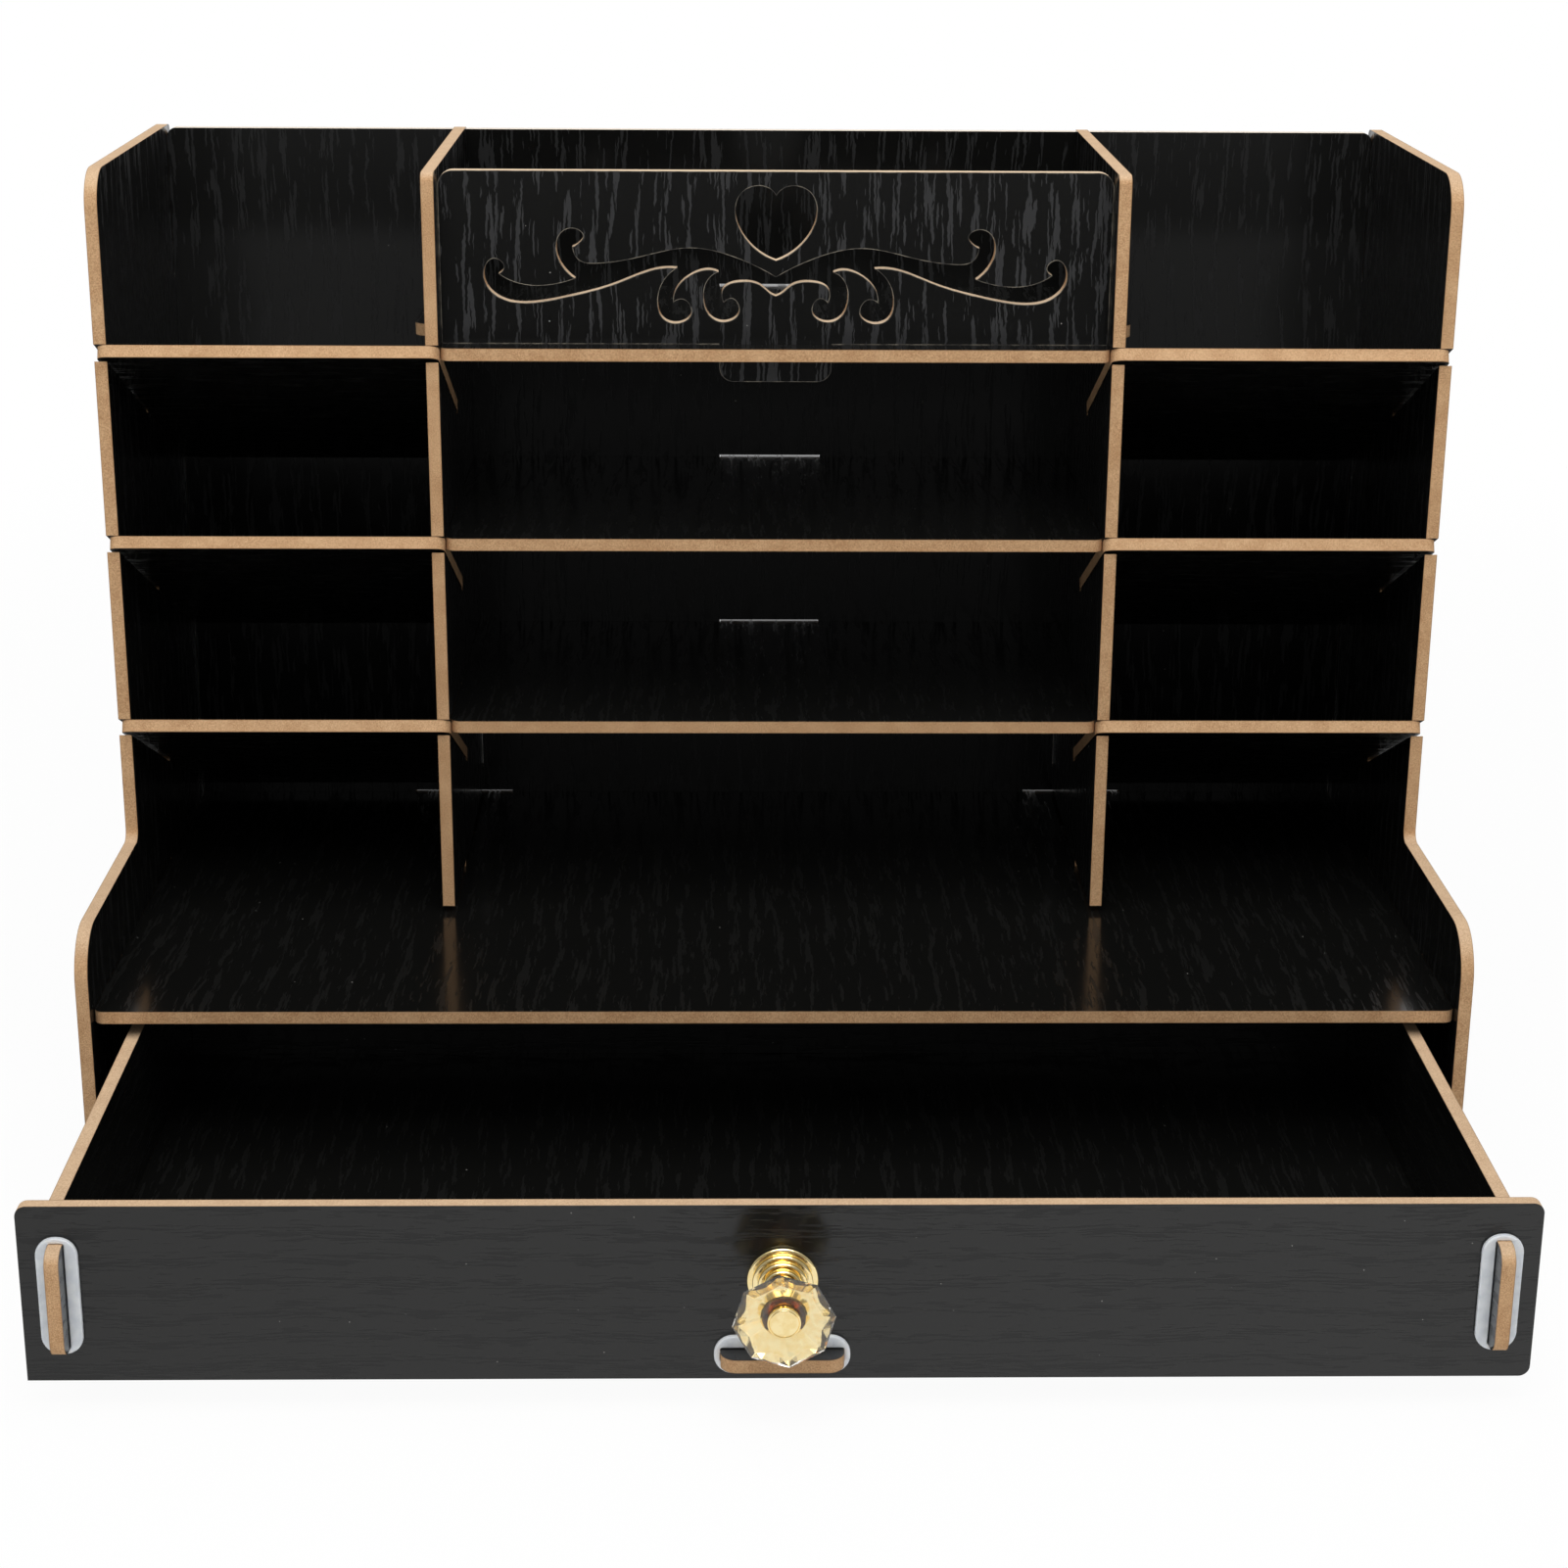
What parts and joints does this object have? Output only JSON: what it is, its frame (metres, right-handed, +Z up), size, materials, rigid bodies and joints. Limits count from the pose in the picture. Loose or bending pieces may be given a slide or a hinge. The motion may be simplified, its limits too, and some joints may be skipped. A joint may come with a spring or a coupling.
{
  "type": "pen holder with drawer",
  "caption": "Desk organizer of slotted black boards with slanted side pockets, open centre shelves, a carved top panel and a sliding drawer with a crystal knob.",
  "frame": {"origin": "on the table, in the mid-plane, under the middle of the back panel's thickness", "axes": "+X to the viewer's right along the width, +Y to the back, +Z up; the drawer opens along -Y"},
  "size_m": [0.3424, 0.2746, 0.2443],
  "materials": {
    "board": "glossy black wood-grain laminate on fibreboard, with raw tan edges",
    "ring": "milky translucent plastic",
    "gold": "polished gold-coloured metal",
    "crystal": "clear cut crystal",
    "screw": "zinc-plated steel"
  },
  "bodies": {
    "carcass": {"back_panel": "board", "base_board": "board", "carved_panel": "board", "front_shelf": "board", "left_base_front_ring": "ring", "left_base_rear_ring": "ring", "left_divider": "board", "left_lower_shelf": "board", "left_middle_shelf": "board", "left_shelf_front_ring": "ring", "left_shelf_rear_ring": "ring", "left_side_panel": "board", "left_upper_shelf": "board", "lower_centre_shelf": "board", "middle_centre_shelf": "board", "right_base_front_ring": "ring", "right_base_rear_ring": "ring", "right_divider": "board", "right_lower_shelf": "board", "right_middle_shelf": "board", "right_shelf_front_ring": "ring", "right_shelf_rear_ring": "ring", "right_side_panel": "board", "right_upper_shelf": "board", "upper_centre_shelf": "board"},
    "drawer": {"drawer_back": "board", "drawer_back_bottom_ring": "ring", "drawer_back_left_ring": "ring", "drawer_back_right_ring": "ring", "drawer_bottom": "board", "drawer_front": "board", "drawer_front_bottom_ring": "ring", "drawer_front_left_ring": "ring", "drawer_front_right_ring": "ring", "drawer_left_side": "board", "drawer_left_side_ring": "ring", "drawer_right_side": "board", "drawer_right_side_ring": "ring", "knob_cap": "gold", "knob_crystal": "crystal", "knob_neck": "gold", "knob_rosette": "gold", "knob_screw": "screw"}
  },
  "joints": [
    {"name": "drawer_slide", "type": "slide", "parent": "carcass", "child": "drawer", "axis": [0, -1, 0], "range_m": [-0.0854, 0.045]}
  ]
}
